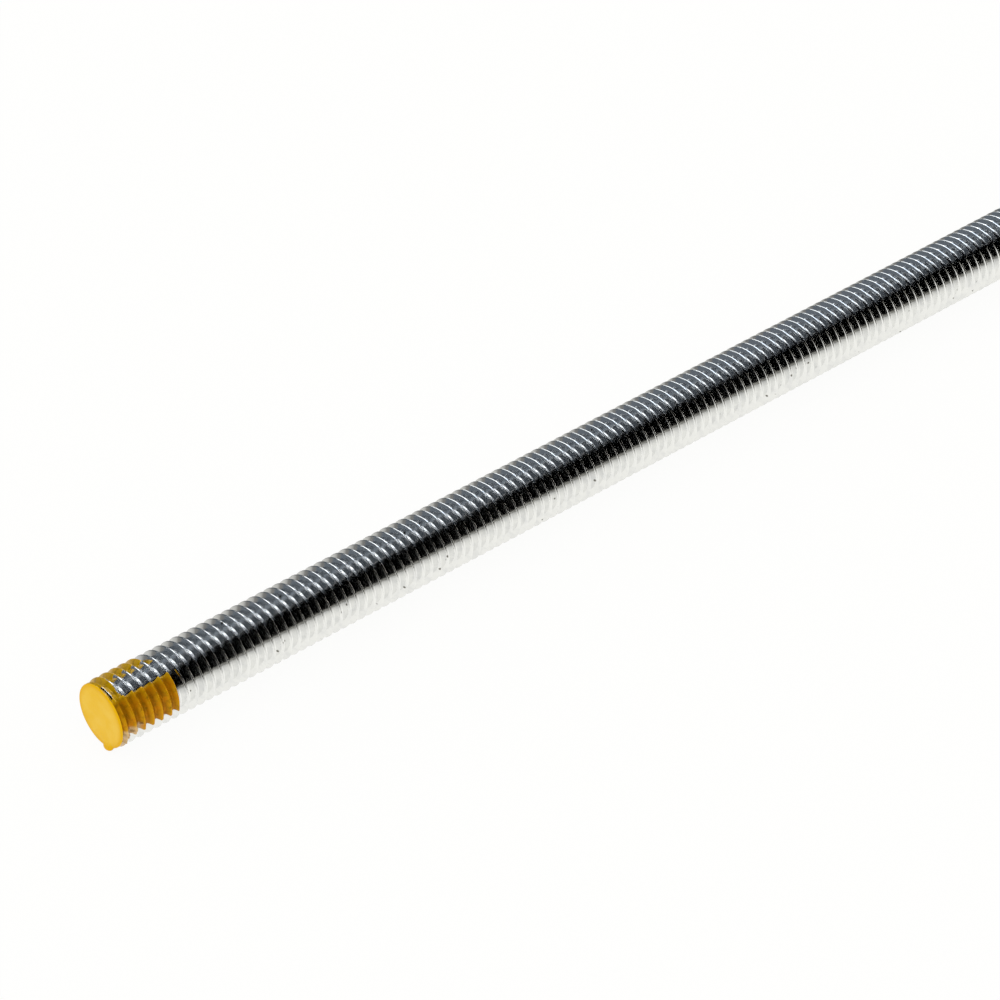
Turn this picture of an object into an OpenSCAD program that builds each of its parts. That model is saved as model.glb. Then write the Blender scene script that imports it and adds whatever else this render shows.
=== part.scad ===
// Threaded rod with a coarse metric thread over its whole length, bright zinc
// plated, with a dipped coat of yellow paint on one end that marks its strength.
// The rod lies along X. The origin is the centre of its bare end face, the
// painted end is at -X, +Z is up and the side that is painted most faces -Y.
// Angles round the rod are in degrees from straight down, and rise towards +Y.

/* [Rod] */
// Length of the steel from face to face
rod_length = 300; // [30:1:1000]
// Diameter over the thread's crests
major_d = 10; // [8:0.5:16]
// Distance from one crest to the next
pitch = 1.5; // [1:0.25:2]
// Width of the bevel round each end face
end_bevel = 0.5; // [0.2:0.05:0.8]

/* [Paint] */
// Thickness of the coat on the end face
face_coat = 0.3; // [0.1:0.05:0.6]
// Thickness of the coat on the crests
crest_coat = 0.08; // [0.04:0.01:0.15]
// Depth of paint that has gathered at the bottom of each painted groove
groove_coat = 0.2; // [0.05:0.05:0.3]
// Crests behind the face that are painted all the way round
ring_turns = 1; // [1:1:3]
// Crests behind the face that the side coats reach
side_turns = 7; // [3:1:12]
// Where the front side coat starts, just below the side that faces -Y
front_start = 214; // [185:1:240]
// How far round the front side coat goes
front_sweep = 73; // [20:1:100]
// Where the back side coat starts
back_start = 70; // [30:1:100]
// How far round the back side coat goes
back_sweep = 100; // [20:1:110]
// Radius of the drop that hangs from the lower edge of the face
drop_r = 0.6; // [0.4:0.05:0.8]
// Where the drop hangs
drop_angle = -20; // [-60:1:60]
// How far the drop stands out past the crests
drop_proud = 0.4; // [0.1:0.05:0.6]

/* [Hidden] */
$fn = 72;

zinc_colour = [0.76, 0.77, 0.78];
paint_colour = [0.93, 0.66, 0.07];

major_r = major_d / 2;
// The basic 60 degree profile: flats of an eighth of the pitch on the crests,
// and a root that an arc rounds, which touches both flanks.
flank_angle = 30;
crest_flat = pitch / 8;
thread_depth = 0.61343 * pitch;
root_arc_r = 0.14434 * pitch;
root_r = major_r - thread_depth;
root_steps = 4;
half_groove = (pitch - crest_flat) / 2;
turns = ceil(rod_length / pitch);
// Paint is thinner than the groove is deep, so the painted groove is a shallower
// copy of the steel one.
painted_root_r = root_r + groove_coat;
painted_major_r = major_r + crest_coat;

// Centre of the groove number i, measured along the rod from the painted end.
function groove_at(i) = (i + 0.5) * pitch;

// Points of the rounded root of a groove: its lowest radius, the arc's radius and
// the groove's centre give each point, from one flank to the other.
function root_points(low_r, centre) = [
    for (k = [0:root_steps])
        let (a = (2 * k / root_steps - 1) * (90 - flank_angle))
        [low_r + root_arc_r * (1 - cos(a)), centre + root_arc_r * sin(a)]
];

// Outline of the grooves from number first to last, from crest to root to crest.
function groove_points(top_r, low_r, first, last) = [
    for (i = [first:last])
        each concat(
            [[top_r, groove_at(i) - half_groove]],
            root_points(low_r, groove_at(i)),
            [[top_r, groove_at(i) + half_groove]]
        )
];

// Half section of the thread with the axis as its inner side. A closed ring stands
// for each turn, because the lead moves a crest by only half a pitch to each side.
module thread_section(top_r, low_r, first, last) {
    polygon(concat(
        [[0, first * pitch]],
        groove_points(top_r, low_r, first, last),
        [[0, (last + 1) * pitch]]
    ));
}

// Half section of the bar before threading, with a bevel at both ends.
module blank_section() {
    polygon([
        [0, 0],
        [major_r - end_bevel, 0],
        [major_r, end_bevel],
        [major_r, rod_length - end_bevel],
        [major_r - end_bevel, rod_length],
        [0, rod_length]
    ]);
}

module steel_section() {
    intersection() {
        blank_section();
        thread_section(major_r, root_r, 0, turns);
    }
}

// Half section of the coat between two crests, laid on the steel's own outline.
module coat_section(first, last) {
    difference() {
        intersection() {
            thread_section(painted_major_r, painted_root_r, first, last);
            square([painted_major_r, rod_length]);
        }
        steel_section();
    }
}

// Sweeps a half section about the rod's axis, and puts its painted end at -X.
module about_axis(start = 0, sweep = 360) {
    translate([-rod_length, 0, 0])
        rotate([0, 90, 0])
            rotate_extrude(start = start, angle = sweep)
                children();
}

// The flat coat on the end face, with a rim that runs over the bevel.
module face_section() {
    rim = min(face_coat, end_bevel);
    polygon([
        [0, -face_coat],
        [major_r - rim, -face_coat],
        [painted_major_r, rim - face_coat],
        [painted_major_r, crest_flat / 2],
        [0, crest_flat / 2]
    ]);
}

// A drop of paint with its middle on the coat's front, so that it keeps clear of
// what goes over the thread.
module drop() {
    out = major_r + drop_proud - drop_r;
    translate([-rod_length - face_coat, 0, 0])
        rotate([drop_angle, 0, 0])
            translate([0, 0, -out])
                sphere(r = drop_r);
}

module rod() {
    color(zinc_colour)
        about_axis()
            steel_section();
}

module end_paint() {
    color(paint_colour) {
        about_axis()
            difference() {
                face_section();
                steel_section();
            }
        about_axis()
            coat_section(0, ring_turns - 1);
        about_axis(front_start, front_sweep)
            coat_section(ring_turns - 1, side_turns - 1);
        about_axis(back_start, back_sweep)
            coat_section(ring_turns - 1, side_turns - 1);
        difference() {
            drop();
            about_axis()
                steel_section();
        }
    }
}

rod();
end_paint();
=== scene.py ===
import bmesh
import bpy
import math
import numpy as np
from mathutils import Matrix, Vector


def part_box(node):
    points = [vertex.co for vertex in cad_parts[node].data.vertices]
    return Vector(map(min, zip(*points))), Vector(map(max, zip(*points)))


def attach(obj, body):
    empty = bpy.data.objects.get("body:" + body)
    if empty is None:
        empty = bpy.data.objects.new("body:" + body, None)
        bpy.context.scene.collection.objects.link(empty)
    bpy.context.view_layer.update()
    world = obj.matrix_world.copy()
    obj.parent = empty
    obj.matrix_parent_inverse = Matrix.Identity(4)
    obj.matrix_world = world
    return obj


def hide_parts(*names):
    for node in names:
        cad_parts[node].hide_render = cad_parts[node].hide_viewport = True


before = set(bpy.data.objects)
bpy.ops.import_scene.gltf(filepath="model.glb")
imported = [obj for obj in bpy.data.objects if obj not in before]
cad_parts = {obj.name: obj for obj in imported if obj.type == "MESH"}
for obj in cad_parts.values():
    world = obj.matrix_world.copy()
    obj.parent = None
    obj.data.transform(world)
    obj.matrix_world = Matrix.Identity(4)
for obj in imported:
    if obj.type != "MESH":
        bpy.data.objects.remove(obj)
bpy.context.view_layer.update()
rodLow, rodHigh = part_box("rod")

# Everything is in metres. The painted end is at the rod's low x, and "along" is the distance from
# its steel face. "around" is the angle about the axis in degrees, from straight down towards +y.
mm = 0.001
rodRadius = (rodHigh.z - rodLow.z) / 2
rodLength = rodHigh.x - rodLow.x
print("frame loaded, rod is", round(rodLength, 4), "m long")

# The right-hand thread: the standard 60 degree profile.
thread = {
    "pitch": 1.5 * mm,
    "flankAngle": 30,           # degrees from square to the axis
    "columns": 40,              # points round the rod
    "crestStart": 0.97 * mm,    # where the first crest crosses straight down
    "crestRounding": 0.04 * mm,
    "rootSteps": 6,             # points across the rounded root
    "endBevel": 0.5 * mm,
    "faceRings": (1, 0.75, 0.4, 0),     # rings of an end face, as shares of its outline
    "sharpAngle": 50,           # edges sharper than this stay sharp
    "normalStep": 0.001 * mm,   # step over which the profile's slope is taken
    "ownNormals": 0.51 * mm,    # nearer an end than this, the mesh keeps its own normals
    "weldDistance": 0.001 * mm,
}
thread["crestHalf"] = thread["pitch"] / 16
thread["depth"] = 0.61343 * thread["pitch"]
thread["rootArc"] = 0.14434 * thread["pitch"]
thread["rootTurn"] = 90 - thread["flankAngle"]      # half the angle of the root's arc


def threadRadius(lead):
    # Radius of the steel at a distance from a crest's middle, taken round by round:
    # flat over the crest, then down a 30 degree flank, then an arc that touches both flanks.
    pitch, arc, soft = thread["pitch"], thread["rootArc"], thread["crestRounding"]
    fromCrest = np.abs((lead / pitch + 0.5) % 1 - 0.5) * pitch
    flank = rodRadius - (fromCrest - thread["crestHalf"]) / math.tan(math.radians(thread["flankAngle"]))
    fromRoot = pitch / 2 - fromCrest
    inArc = fromRoot < arc * math.sin(math.radians(thread["rootTurn"]))
    root = rodRadius - thread["depth"] + arc - np.sqrt(np.maximum(arc**2 - fromRoot**2, 0))
    steep = np.where(inArc, root, flank)
    # the crest's corner is rounded by a smooth lower bound of the flat and the flank
    blend = np.clip(0.5 + (steep - rodRadius) / (2 * soft), 0, 1)
    return steep * (1 - blend) + rodRadius * blend - soft * blend * (1 - blend)


def onRod(along, around, radius):
    # Point at a distance from the painted face, an angle and a radius.
    angle = np.radians(around)
    return np.stack([rodLow.x + along, radius * np.sin(angle), -radius * np.cos(angle)], -1)


def ringFaces(ids):
    # Quads between neighbouring rings of points, each ring closed on itself.
    turned = np.roll(ids, -1, 1)
    return np.stack([ids[:-1], turned[:-1], turned[1:], ids[1:]], -1).reshape(-1, 4)


def meshFrom(name, points, faces):
    mesh = bpy.data.meshes.new(name)
    mesh.from_pydata(points.reshape(-1, 3).tolist(), [], faces.tolist())
    piece = bpy.data.objects.new(name, mesh)
    bpy.context.scene.collection.objects.link(piece)
    return piece


def weld(piece, distance):
    # Merges points that fall together, drops what has no area and turns the faces outwards.
    work = bmesh.new()
    work.from_mesh(piece.data)
    bmesh.ops.remove_doubles(work, verts=work.verts, dist=distance)
    bmesh.ops.dissolve_degenerate(work, dist=distance, edges=work.edges)
    bmesh.ops.recalc_face_normals(work, faces=work.faces)
    work.to_mesh(piece.data)
    work.free()


def threadNormals(mesh):
    # The exact normal of the helical surface r = R(lead) at each point: the radial direction, less
    # R' along the rod, plus R' pitch / (2 pi r) round it. Zero, for the mesh's own, near the ends.
    flat = np.empty(len(mesh.vertices) * 3)
    mesh.vertices.foreach_get("co", flat)
    x, y, z = flat.reshape(-1, 3).T
    along, radius, angle = x - rodLow.x, np.hypot(y, z), np.arctan2(y, -z)
    perRadian = thread["pitch"] / (2 * math.pi)
    lead = along - thread["crestStart"] - perRadian * angle
    step = thread["normalStep"]
    slope = (threadRadius(lead + step) - threadRadius(lead - step)) / (2 * step)
    twist = slope * perRadian / np.maximum(radius, mm)
    sine, cosine = np.sin(angle), np.cos(angle)
    normal = np.stack([-slope, sine + twist * cosine, twist * sine - cosine], -1)
    normal /= np.linalg.norm(normal, axis=1, keepdims=True)
    nearEnd = np.minimum(along, rodLength - along) < thread["ownNormals"]
    return np.where(nearEnd[:, None], 0, normal)


def profilePlaces():
    # Where the grid's rows lie in one turn of the profile: round both corners of the crest, at
    # equal steps of angle on the root's arc, and at one more point on each flank.
    pitch, half, soft = thread["pitch"], thread["crestHalf"], thread["crestRounding"]
    arcAngles = np.radians(np.linspace(-thread["rootTurn"], thread["rootTurn"], thread["rootSteps"]))
    return np.concatenate([
        [-half - soft, -half + soft, half - soft, half + soft, half + 3 * soft],
        pitch / 2 + thread["rootArc"] * np.sin(arcAngles),
        [pitch - half - 3 * soft],
    ])


def faceOutline(limit, around):
    # Radius of the rod at an end face: the thread's there, cut down by the bevel.
    lead = limit - thread["crestStart"] - thread["pitch"] * around / 360
    return np.minimum(threadRadius(lead), rodRadius - thread["endBevel"])


def rodGrid(around):
    # Points whose rows follow the helix: each row keeps its place in the profile and moves one
    # pitch along the rod in one turn. Beyond each end they close on the end face's outline.
    pitch = thread["pitch"]
    turns = int(round(rodLength / pitch)) + 3       # two before the first and one after the last
    rows = (profilePlaces()[None, :] + pitch * (np.arange(turns)[:, None] - 2)).ravel()
    along = thread["crestStart"] + rows[:, None] + pitch * around[None, :] / 360
    radius = threadRadius(np.repeat(rows[:, None], len(around), 1))
    for limit, outside in ((0, along < 0), (rodLength, along > rodLength)):
        radius = np.where(outside, faceOutline(limit, around)[None, :], radius)
    along = np.clip(along, 0, rodLength)
    bevel = rodRadius - thread["endBevel"] + np.minimum(along, rodLength - along)
    return onRod(along, around[None, :], np.minimum(radius, bevel))


def rodFaces(count, columns, perTurn):
    # Quads between neighbouring rows and columns. The last column joins the first a turn further on.
    index = np.arange(count * columns).reshape(count, columns)
    last = count - perTurn - 1
    row, nextRow = index[:last], index[1:last + 1]
    body = np.stack([row[:, :-1], row[:, 1:], nextRow[:, 1:], nextRow[:, :-1]], -1)
    ahead, nextAhead = index[perTurn:count - 1, 0], index[perTurn + 1:count, 0]
    seam = np.stack([row[:, -1], ahead, nextAhead, nextRow[:, -1]], -1)
    return np.concatenate([body.reshape(-1, 4), seam])


def endFace(limit, around, start):
    # Rings from an end face's outline to its middle. Their points are numbered from start.
    shares = np.array(thread["faceRings"])[:, None]
    along = np.full((shares.size, around.size), limit)
    rings = onRod(along, around[None, :], shares * faceOutline(limit, around))
    ids = start + np.arange(along.size).reshape(along.shape)
    return rings.reshape(-1, 3), ringFaces(ids)


def makeRod():
    # The helical grid and both end faces, welded into one closed skin.
    columns = thread["columns"]
    around = np.arange(columns) * 360 / columns
    grid = rodGrid(around)
    points = grid.reshape(-1, 3)
    faces = rodFaces(len(grid), columns, len(profilePlaces()))
    for limit in (0, rodLength):
        facePoints, faceFaces = endFace(limit, around, len(points))
        points = np.concatenate([points, facePoints])
        faces = np.concatenate([faces, faceFaces])
    piece = meshFrom("steel_rod", points, faces)
    weld(piece, thread["weldDistance"])
    piece.data.shade_smooth()
    piece.data.set_sharp_from_angle(angle=math.radians(thread["sharpAngle"]))
    piece.data.normals_split_custom_set_from_vertices(threadNormals(piece.data).tolist())
    return piece


steelRod = makeRod()
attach(steelRod, "root")
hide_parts("rod")
print("thread made:", len(steelRod.data.polygons), "faces")


# The yellow paint on one end, dipped and then brushed on: a thick skin over the end face, a ring
# on the first thread and a wide patch down each side.
paint = {
    "front": 0.3 * mm,          # skin over the end face
    "dish": 0.05 * mm,          # how much deeper the middle of the end face lies
    "rim": 4.86 * mm,           # radius of the skin over the end face
    "rimRounding": 0.22 * mm,
    "rimSteps": 7,
    "faceRadii": (0, 0.8 * mm, 1.6 * mm, 2.4 * mm, 3.2 * mm, 3.8 * mm, 4.2 * mm, 4.45 * mm),
    "rimFillet": 0.55 * mm,     # how far the rim's thick skin reaches back along the side
    "crestFilm": 0.05 * mm,
    "grooveShare": 0.33,        # how far the paint fills the grooves
    "unevenness": 0.25,         # how much the film's thickness varies
    "edgeRounding": 0.22 * mm,  # width over which the film's edge rises
    "tuck": 0.04 * mm,          # how deep the skin lies under the steel where nothing is painted
    "reach": 10.6 * mm,
    "columns": 200,
    "sideStep": 0.06 * mm,
    "innerRadius": 3.9 * mm,    # the plain cylinder inside the steel on which the skin closes
    "boxLimit": 5.07 * mm,      # the solid model's box, less a hair
    # patches: first and last angle round the rod, and how far they reach along it
    "patches": ((212.5, 286.5, 9.52 * mm), (68, 168, 8.1 * mm)),
    "patchWaves": 0.10 * mm,    # how uneven the patches' borders are
    "ring": 1.55 * mm,
    "ringWaves": 0.16 * mm,
    "ringUnder": 0.75 * mm,     # the ring's width on the underside
    "underside": ((286, 300), (100, 60)),   # angles between which the ring narrows to it
    # a bare spot on the bevel: along, around, half its length, half its angle
    "bareSpot": (0.15 * mm, 194, 0.45 * mm, 17),
    # runs and beads: along, around, half width, height
    "beads": (
        (0.25 * mm, 279, 0.40 * mm, 0.28 * mm), (0.95 * mm, 283, 0.32 * mm, 0.30 * mm),
        (1.55 * mm, 279, 0.30 * mm, 0.42 * mm), (2.15 * mm, 277, 0.26 * mm, 0.30 * mm),
        (3.15 * mm, 271, 0.22 * mm, 0.35 * mm), (1.35 * mm, 291, 0.24 * mm, 0.25 * mm),
        (0.45 * mm, 296, 0.30 * mm, 0.25 * mm),
    ),
    # the drop at the lower edge of the end face: around, half angle, reach outwards and forwards
    "drop": (-17, 12.5, 0.40 * mm, 0.30 * mm),
    "fullThickness": 0.5 * mm,          # film that the material takes as the thickest
    "upperEdge": (222, 210),            # angles over which the thinly brushed upper side sets in
    "beadEdge": (266, 272),             # angles over which the beaded lower edge sets in
    "beadReach": (3.6 * mm, 2.8 * mm),  # and where it fades along the rod
    "weldDistance": 0.0001 * mm,
}


def smoothStep(low, high, value):
    # Rises from 0 at low to 1 at high as 3 t^2 - 2 t^3.
    t = np.clip((value - low) / (high - low), 0, 1)
    return t * t * (3 - 2 * t)


def ripple(along, around, seed):
    # Soft unevenness between about -1 and 1: a sum of six waves that run over length and angle,
    # each finer and weaker than the last, with odd factors that keep them out of step.
    total = 0
    for wave in range(6):
        turn = seed * 2.4 + wave * 1.9
        lengthwise = (1.1 + 0.9 * wave) * math.cos(turn) / mm
        roundwise = round((2 + 2.6 * wave) * math.sin(turn))
        phase = lengthwise * along + roundwise * np.radians(around) + 7.3 * turn
        total = total + np.sin(phase) / (1 + 0.5 * wave)
    return total / 2.6


def steelRadius(along, around):
    # The thread with the bevel at the painted end.
    lead = along - thread["crestStart"] - thread["pitch"] * around / 360
    bevel = rodRadius - thread["endBevel"] + np.maximum(along, 0)
    return np.minimum(threadRadius(lead), bevel)


def paintedDepth(along, around):
    # How far inside the painted area a place is, in metres, negative outside it: the most of the
    # depths in the ring and the patches, and no more than the distance from the bare spot.
    perDegree = rodRadius * math.radians(1)
    under = sum(smoothStep(low, high, around) for low, high in paint["underside"])
    inside = paint["ring"] + (paint["ringUnder"] - paint["ring"]) * np.minimum(under, 1) - along
    inside = inside + paint["ringWaves"] * ripple(0 * along, around, 3)
    wavy = paint["patchWaves"] * ripple(along, around, 1)
    for first, last, reach in paint["patches"]:
        fromSides = np.minimum(around - first, last - around) * perDegree
        inside = np.maximum(inside, np.minimum(fromSides, reach - along) + wavy)
    spotAlong, spotAround, halfLength, halfAngle = paint["bareSpot"]
    fromSpot = np.hypot((along - spotAlong) / halfLength, (around - spotAround) / halfAngle) - 1
    return np.minimum(inside, fromSpot * halfLength)


def paintRadius(along, around):
    # Steel plus the film: thin on the crests, thicker in the grooves, with a rounded edge
    # sqrt(1 - (1 - t)^2) that rises from nothing, and below the steel where nothing is painted.
    # Each bead adds half an ellipse, its height times sqrt(1 - d^2) at the share d of its width.
    steel = steelRadius(along, around)
    inside = paintedDepth(along, around)
    t = np.clip(inside / paint["edgeRounding"], 0, 1)
    rise = np.sqrt(1 - (1 - t) ** 2)
    full = paint["crestFilm"] + paint["grooveShare"] * (rodRadius - steel)
    full = full * (1 + paint["unevenness"] * ripple(along, around, 5))
    for beadAlong, beadAround, halfWidth, height in paint["beads"]:
        aside = (around - beadAround) * math.radians(1) * rodRadius
        share = 1 - (np.hypot(along - beadAlong, aside) / halfWidth) ** 2
        full = full + height * np.sqrt(np.maximum(share, 0))
        rise = np.maximum(rise, np.sqrt(np.clip(3 * share, 0, 1)))
    tucked = paint["tuck"] * np.clip(-inside / (0.05 * mm), 0, 1)
    return steel + full * rise - np.where(rise > 0, 0, tucked)


def faceRows():
    # Rows of the end face, as along and radius: a shallow dish, then a quarter circle to the rim.
    front, rim, rounding = paint["front"], paint["rim"], paint["rimRounding"]
    flat = np.array(paint["faceRadii"])
    dish = paint["dish"] * smoothStep(rim - 0.3 * mm, 1.5 * mm, flat)
    turn = np.radians(np.linspace(0, 90, paint["rimSteps"]))
    along = np.concatenate([dish, rounding * (1 - np.cos(turn))]) - front
    radius = np.concatenate([flat, rim - rounding + rounding * np.sin(turn)])
    return along, radius


def sideRadius(along, around, start):
    # The film along the side, raised to a fillet behind the rim where it is painted. It sets out
    # from the rim's own radius at start.
    rim = paint["rim"]
    fillet = rim * (1 - smoothStep(-0.1 * mm, paint["rimFillet"], along))
    painted = np.clip(paintedDepth(along, around) / (0.15 * mm), 0, 1)
    radius = np.maximum(paintRadius(along, around), painted * fillet)
    fromRim = smoothStep(start, start + 0.15 * mm, along)
    return rim * (1 - fromRim) + radius * fromRim


def hangDrop(along, radius, around):
    # The drop: half an ellipse, sqrt(1 - t^2) over its share t of the half angle, that pushes the
    # rim outwards and forwards.
    dropAround, halfAngle, outwards, forwards = paint["drop"]
    rim = paint["rim"]
    aside = ((around - dropAround + 180) % 360 - 180) / halfAngle
    nearRim = smoothStep(rim - 1.0 * mm, rim - 0.2 * mm, radius) * smoothStep(0.8 * mm, -0.1 * mm, along)
    share = np.sqrt(np.maximum(1 - aside**2, 0)) * nearRim
    ahead = smoothStep(0.5 * mm, -0.3 * mm, along)
    return along - forwards * share * ahead, radius + outwards * share


def paintLayers(along, radius, around):
    # What the material reads at each point, all between 0 and 1.
    beyondFace = along > 0
    thick = np.clip((radius - steelRadius(along, around)) / paint["fullThickness"], 0, 1)
    # the end face is 1, and falls to a half towards its rim
    onFace = np.where(along < 0, 1 - 0.5 * smoothStep(3.9 * mm, 4.7 * mm, radius), 0)
    # the upper side was brushed thinly and stays yellow
    upper = smoothStep(*paint["upperEdge"], around) * beyondFace
    # the beads on the lower edge, near the end, which also carry a painted highlight of pale cream
    beadPaintedHighlight = smoothStep(*paint["beadEdge"], around) * smoothStep(*paint["beadReach"], along) * beyondFace
    shine = np.maximum(upper, beadPaintedHighlight)
    return {"thick": thick, "onFace": onFace, "upper": upper, "beadPaintedHighlight": beadPaintedHighlight, "shine": shine}


def makePaint():
    # The end face's rows and the side's, on one grid, closed by four rows inside the steel.
    columns = paint["columns"]
    around = (np.arange(columns) * 360 / columns)[None, :]
    faceAlong, faceRadius = faceRows()
    start = faceAlong[-1]
    sideAlong = np.arange(start + 0.03 * mm, paint["reach"], paint["sideStep"])[:, None] + 0 * around
    along = np.concatenate([faceAlong[:, None] + 0 * around, sideAlong])
    radius = np.concatenate([faceRadius[:, None] + 0 * around, sideRadius(sideAlong, around, start)])
    along, radius = hangDrop(along, radius, around)
    angle = np.radians(around)
    radius = np.minimum(radius, paint["boxLimit"] / np.maximum(np.abs(np.sin(angle)), np.abs(np.cos(angle))))
    outer = onRod(along, around, radius)
    innerAlong = np.array([paint["reach"], paint["reach"] * 0.5, 0.1 * mm, 0.1 * mm])[:, None] + 0 * around
    innerRadius = paint["innerRadius"] * np.array([1, 1, 1, 0])[:, None]
    points = np.concatenate([outer, onRod(innerAlong, around, innerRadius)])
    ids = np.arange(points.shape[0] * columns).reshape(-1, columns)
    piece = meshFrom("end_paint_skin", points, ringFaces(ids))
    for name, values in paintLayers(along, radius, around).items():
        layer = piece.data.attributes.new(name, "FLOAT", "POINT")
        layer.data.foreach_set("value", np.concatenate([values.ravel(), np.zeros(innerAlong.size)]))
    weld(piece, paint["weldDistance"])
    piece.data.shade_smooth()
    return piece


endPaint = makePaint()
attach(endPaint, "root")
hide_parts("end_paint")
print("paint made:", len(endPaint.data.polygons), "faces")


def startMaterial(name):
    # A new material with its node tree and its shader.
    material = bpy.data.materials.new(name)
    material.use_nodes = True
    return material, material.node_tree, material.node_tree.nodes["Principled BSDF"]


def setInput(socket, value):
    # The value is another node's output, a colour or a number.
    if isinstance(value, bpy.types.NodeSocket):
        socket.id_data.links.new(value, socket)
    elif socket.type == "RGBA":
        socket.default_value = (*value, 1)
    else:
        socket.default_value = value


def addNode(tree, kind, inputs, **settings):
    # The settings come first, because some of them choose which inputs the node has.
    node = tree.nodes.new(kind)
    for name, value in settings.items():
        setattr(node, name, value)
    for name, value in inputs.items():
        setInput(node.inputs[name], value)
    return node


def attribute(tree, name):
    return addNode(tree, "ShaderNodeAttribute", {}, attribute_name=name).outputs["Fac"]


def noise(tree, place, scale, detail):
    inputs = {"Vector": place, "Scale": scale, "Detail": detail}
    return addNode(tree, "ShaderNodeTexNoise", inputs).outputs["Fac"]


def spread(tree, value, low, high, first=0, last=1):
    # Takes low to first and high to last, and stays at them beyond.
    ends = {"From Min": low, "From Max": high, "To Min": first, "To Max": last}
    return addNode(tree, "ShaderNodeMapRange", {"Value": value, **ends}).outputs[0]


def blend(tree, share, first, second):
    # The first colour where the share is 0, the second where it is 1.
    colours = {"Factor": share, "A": first, "B": second}
    return addNode(tree, "ShaderNodeMix", colours, data_type="RGBA").outputs["Result"]


# Yellow enamel, thick on the end face and thin on the side.
enamel = {
    "amber": (0.62, 0.30, 0.001),       # the thin film
    "brown": (0.34, 0.13, 0.001),       # where it is thick
    "orange": (0.56, 0.21, 0.001),      # clouds in it
    "yellow": (0.72, 0.44, 0.001),      # the upper side
    "fleck": (0.20, 0.11, 0.002),
    # a painted highlight: pale cream that stands for the white shine of the glassy beads
    "beadPaintedHighlight": (0.80, 0.68, 0.42),
    "face": (0.87, 0.52, 0.012),
    "faceLight": (0.90, 0.58, 0.055),
    "rim": (0.82, 0.46, 0.001),
    # scales of the patterns, and the values of each between which its colour comes in
    "cloudScale": 900,
    "cloudSpread": (0.45, 0.75),
    "fleckScale": 1300,
    "fleckSpread": (0.52, 0.85),
    "faceScale": 420,
    "faceSpread": (0.35, 0.7),
    "lumpScale": 1500,
    "lumpHeight": 0.02 * mm,
    "metalShare": 0.35,         # how much of the metal shows through on the side
    "roughness": 0.28,
    "specular": 0.1,
    "coatShare": 0.9,           # clear coat where it shines
    "coatRoughness": 0.08,
}


def enamelMaterial():
    # Opaque on the end face; on the sides a lacquer that lets some of the metal through, brown
    # where it lies thick in the grooves, with a clear coat where it shines.
    material, tree, shader = startMaterial("yellow_enamel")
    place = addNode(tree, "ShaderNodeTexCoord", {}).outputs["Object"]
    side = blend(tree, spread(tree, attribute(tree, "thick"), 0.1, 0.75), enamel["amber"], enamel["brown"])
    clouds = noise(tree, place, enamel["cloudScale"], 2)
    side = blend(tree, spread(tree, clouds, *enamel["cloudSpread"]), side, enamel["orange"])
    side = blend(tree, spread(tree, attribute(tree, "upper"), 0, 1.3), side, enamel["yellow"])
    flecks = noise(tree, place, enamel["fleckScale"], 3)
    side = blend(tree, spread(tree, flecks, *enamel["fleckSpread"]), side, enamel["fleck"])
    # painted highlight: the beads turn pale cream, for the shine of the glassy drops
    side = blend(tree, spread(tree, attribute(tree, "beadPaintedHighlight"), 0, 2.8), side, enamel["beadPaintedHighlight"])
    onFace = attribute(tree, "onFace")
    pale = noise(tree, place, enamel["faceScale"], 3)
    end = blend(tree, spread(tree, pale, *enamel["faceSpread"]), enamel["face"], enamel["faceLight"])
    end = blend(tree, spread(tree, onFace, 0.5, 0.98), enamel["rim"], end)
    lumps = {"Height": noise(tree, place, enamel["lumpScale"], 2), "Distance": enamel["lumpHeight"]}
    shaderInputs = {
        "Base Color": blend(tree, spread(tree, onFace, 0, 0.5), side, end),
        "Metallic": spread(tree, onFace, 0, 0.5, enamel["metalShare"], 0),
        "Roughness": enamel["roughness"],
        "Specular IOR Level": enamel["specular"],
        "Coat Weight": spread(tree, attribute(tree, "shine"), 0, 1, 0, enamel["coatShare"]),
        "Coat Roughness": enamel["coatRoughness"],
        "Normal": addNode(tree, "ShaderNodeBump", lumps).outputs[0],
    }
    for name, value in shaderInputs.items():
        setInput(shader.inputs[name], value)
    return material


endPaint.data.materials.append(enamelMaterial())
print("enamel made")


# Bright zinc: smooth metal with a fine uneven skin.
zinc = {
    "colour": (0.89, 0.893, 0.888),
    "dull": (0.81, 0.815, 0.82),
    "cloudScale": 700,          # clouds of the dull colour
    "cloudSpread": (0.3, 0.55),
    "roughness": 0.11,
    "mottleSize": 0.45 * mm,
    "mottleHeight": 0.003 * mm,
    "hatchScale": (900, 6500, 6500),    # lines along the rod
    "hatchHeight": 0.001 * mm,
    "speck": (0.20, 0.19, 0.17),
    "speckSpacing": 2.6 * mm,
    "speckShare": 0.45,         # share of the pattern's cells that hold a speck
    "speckEdge": (0.06, 0.10),  # where a speck fades, as shares of the spacing
}


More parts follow.
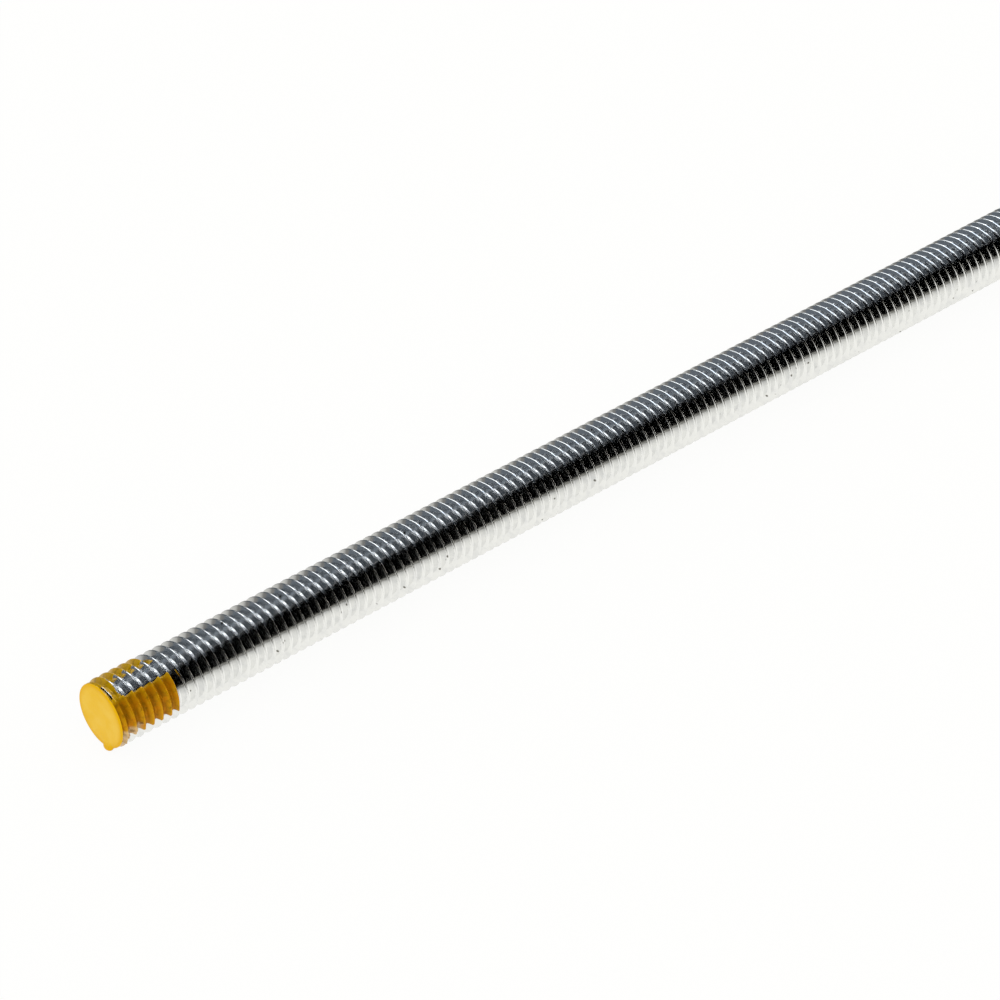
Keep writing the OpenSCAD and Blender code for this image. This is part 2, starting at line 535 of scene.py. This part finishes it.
def zincMaterial():
    # Mirror-bright zinc whose surface is slightly lumpy, with faint lines along the rod.
    material, tree, shader = startMaterial("bright_zinc")
    place = addNode(tree, "ShaderNodeTexCoord", {}).outputs["Object"]
    mottle = {"Height": noise(tree, place, 1 / zinc["mottleSize"], 2), "Distance": zinc["mottleHeight"]}
    mottled = addNode(tree, "ShaderNodeBump", mottle).outputs[0]
    stretched = addNode(tree, "ShaderNodeMapping", {"Vector": place, "Scale": zinc["hatchScale"]}).outputs[0]
    hatch = {"Height": noise(tree, stretched, 1, 1), "Distance": zinc["hatchHeight"], "Normal": mottled}
    clouds = spread(tree, noise(tree, place, zinc["cloudScale"], 2), *zinc["cloudSpread"])
    tint = blend(tree, clouds, zinc["dull"], zinc["colour"])
    # a few dark specks: the middles of some cells of a scattered pattern
    cells = addNode(tree, "ShaderNodeTexVoronoi", {"Vector": place, "Scale": 1 / zinc["speckSpacing"]})
    middle = spread(tree, cells.outputs["Distance"], *zinc["speckEdge"], 1, 0)
    draw = {0: cells.outputs["Color"], 1: zinc["speckShare"]}
    chosen = addNode(tree, "ShaderNodeMath", draw, operation="LESS_THAN").outputs[0]
    specks = addNode(tree, "ShaderNodeMath", {0: middle, 1: chosen}, operation="MULTIPLY").outputs[0]
    shaderInputs = {
        "Base Color": blend(tree, specks, tint, zinc["speck"]),
        "Metallic": 1,
        "Roughness": zinc["roughness"],
        "Normal": addNode(tree, "ShaderNodeBump", hatch).outputs[0],
    }
    for name, value in shaderInputs.items():
        setInput(shader.inputs[name], value)
    return material


steelRod.data.materials.append(zincMaterial())
print("zinc made")


# Camera: where it stands, worked out from the rod's lines in the photograph.
camera = {
    "place": (-0.55970, -0.38490, 0.39184),
    "heading": 49.285,          # degrees from +x towards +y
    "down": 37.574,             # degrees below the horizon
    "focal": 4438.2,            # in pixels of the picture
    "pictureWidth": 1000,       # in pixels
    "sensorWidth": 36,          # in millimetres
    "nearAndFar": (0.01, 50),
}


def makeCamera():
    data = bpy.data.cameras.new("camera")
    data.sensor_width = camera["sensorWidth"]
    data.lens = camera["focal"] / camera["pictureWidth"] * data.sensor_width
    data.clip_start, data.clip_end = camera["nearAndFar"]
    holder = bpy.data.objects.new("camera", data)
    holder.location = camera["place"]
    holder.rotation_euler = (math.radians(90 - camera["down"]), 0, math.radians(camera["heading"] - 90))
    bpy.context.scene.collection.objects.link(holder)
    bpy.context.scene.camera = holder


makeCamera()
print("camera set")


# The studio: a white floor, a plain sky for the matt surfaces, and glowing or dark cards on a big
# sphere that only mirrors see. Headings are in degrees from +x towards +y, heights in degrees
# above the horizon.
stage = {
    "floorDrop": 5.15 * mm,     # floor under the rod's axis
    "floorReach": 4.0,
    "floorColour": (0.96, 0.95, 0.92),
    "floorWhite": (1, 1, 0.992),
    "floorGlow": 0.94,          # share of the floor that is plain white to the camera
    # how bright the floor looks in the metal, by distance behind the rod (negative in front)
    "floorMirrored": ((-300 * mm, 0.05), (-100 * mm, 0.55), (-40 * mm, 0.7), (-10 * mm, 1.0),
                      (20 * mm, 0.7), (60 * mm, 0.4), (90 * mm, 0.2)),
    "floorTint": (1, 0.995, 0.95),      # of what the metal mirrors
    "skyStrength": 1.0,
    "cardDistance": 2.5,
    "cardCentre": 80 * mm,      # along the rod
    "cardGrid": (13, 7),        # points across and up a card
    "cool": (0.85, 0.98, 1.14),
    "pale": (0.95, 1.0, 1.04),
    "warm": (1.0, 0.98, 0.88),
    # name, first and last heading, first and last height, brightness, tint
    "cards": (
        ("dark_front", -190, -45, 5, 60, 0.0, "cool"),
        ("dark_right", -45, 5, 10, 60, 0.0, "cool"),
        ("front_strip", -190, -45, -1, 5, 0.3, "warm"),
        ("right_strip", -45, 5, -1, 10, 3.0, "warm"),
        ("lamp", 5, 45, -1, 30, 4.0, "pale"),
        ("window", 5, 45, 30, 52, 1.5, "cool"),
        ("window_end", 45, 60, -1, 52, 1.5, "pale"),
        ("gap", 60, 90, -1, 52, 0.1, "cool"),
        ("back_wall", 90, 105, -1, 30, 0.1, "cool"),
        ("back_window", 90, 105, 30, 52, 1.5, "pale"),
        ("left_wall", 105, 170, -1, 20, 0.15, "cool"),
        ("left_dark", 105, 170, 20, 60, 0.0, "cool"),
        ("over_window", 5, 105, 52, 60, 0.2, "cool"),
        ("ceiling", -190, 75, 60, 72, 0.06, "cool"),
        ("ceiling_top", -110, 45, 72, 90, 0.2, "cool"),
        ("skylight_left", -190, -110, 72, 90, 1.5, "pale"),
        ("skylight_edge", 75, 170, 60, 72, 1.5, "pale"),
        ("skylight", 45, 170, 72, 90, 2.5, "pale"),
    ),
}


def glow(tree, colour):
    return addNode(tree, "ShaderNodeEmission", {"Color": colour}).outputs[0]


def glowMaterial(name, colour):
    # A card's plain light. It is left out of the list of lamps, which keeps the render quick.
    material, tree, shader = startMaterial(name)
    tree.nodes.remove(shader)
    setInput(tree.nodes["Material Output"].inputs["Surface"], glow(tree, colour))
    material.cycles.emission_sampling = "NONE"
    return material


def mirroredFloor(tree):
    # Colour of the floor in the metal: a ramp over the distance behind the rod.
    place = addNode(tree, "ShaderNodeTexCoord", {}).outputs["Object"]
    behind = addNode(tree, "ShaderNodeSeparateXYZ", {0: place}).outputs["Y"]
    spots = stage["floorMirrored"]
    low, high = spots[0][0], spots[-1][0]
    ramp = addNode(tree, "ShaderNodeValToRGB", {0: spread(tree, behind, low, high)})
    elements = ramp.color_ramp.elements
    while len(elements) < len(spots):
        elements.new(0.5)
    for element, (distance, value) in zip(elements, spots):
        element.position = (distance - low) / (high - low)
        element.color = (*[value * part for part in stage["floorTint"]], 1)
    return ramp.outputs[0]


def floorMaterial():
    # Matt white that catches the shadow, most of it shown as plain white to the camera. Mirrors
    # see it as bright near the rod and darker far off.
    material, tree, shader = startMaterial("floor_white")
    matt = {"Base Color": stage["floorColour"], "Roughness": 1, "Specular IOR Level": 0}
    for name, value in matt.items():
        setInput(shader.inputs[name], value)
    path = addNode(tree, "ShaderNodeLightPath", {})
    whiteShare = {0: path.outputs["Is Camera Ray"], 1: stage["floorGlow"]}
    share = addNode(tree, "ShaderNodeMath", whiteShare, operation="MULTIPLY").outputs[0]
    layers = {0: share, 1: shader.outputs[0], 2: glow(tree, stage["floorWhite"])}
    seen = addNode(tree, "ShaderNodeMixShader", layers).outputs[0]
    sides = {0: path.outputs["Is Glossy Ray"], 1: seen, 2: glow(tree, mirroredFloor(tree))}
    floor = addNode(tree, "ShaderNodeMixShader", sides).outputs[0]
    setInput(tree.nodes["Material Output"].inputs["Surface"], floor)
    material.cycles.emission_sampling = "NONE"
    return material


def makeCard(name, headings, heights, colour):
    # Part of a sphere round the rod's visible middle, between two headings and two heights.
    across, up = stage["cardGrid"]
    heading, height = np.meshgrid(
        np.radians(np.linspace(*headings, across)), np.radians(np.linspace(*heights, up)))
    far = stage["cardDistance"]
    level = far * np.cos(height)
    x = rodLow.x + stage["cardCentre"] + level * np.cos(heading)
    points = np.stack([x, level * np.sin(heading), far * np.sin(height)], -1)
    ids = np.arange(heading.size).reshape(heading.shape)
    faces = np.stack([ids[:-1, :-1], ids[1:, :-1], ids[1:, 1:], ids[:-1, 1:]], -1).reshape(-1, 4)
    piece = meshFrom(name, points, faces)
    piece.data.materials.append(glowMaterial(name, colour))
    piece.visible_camera = False
    piece.visible_diffuse = False
    piece.visible_shadow = False


def makeStage():
    reach, level = stage["floorReach"], -stage["floorDrop"]
    corners = np.array([(x * reach, y * reach, level) for x, y in ((-1, -1), (1, -1), (1, 1), (-1, 1))])
    floor = meshFrom("floor", corners, np.array([[0, 1, 2, 3]]))
    floor.data.materials.append(floorMaterial())
    for name, firstHeading, lastHeading, bottom, top, brightness, tint in stage["cards"]:
        colour = [brightness * part for part in stage[tint]]
        makeCard(name, (firstHeading, lastHeading), (bottom, top), colour)
    world = bpy.data.worlds.new("studio")
    bpy.context.scene.world = world
    world.use_nodes = True
    sky = world.node_tree.nodes["Background"]
    setInput(sky.inputs["Color"], (1, 1, 1))
    setInput(sky.inputs["Strength"], stage["skyStrength"])


makeStage()
bpy.context.scene.view_settings.view_transform = "Standard"
print("studio made:", len(stage["cards"]), "cards")
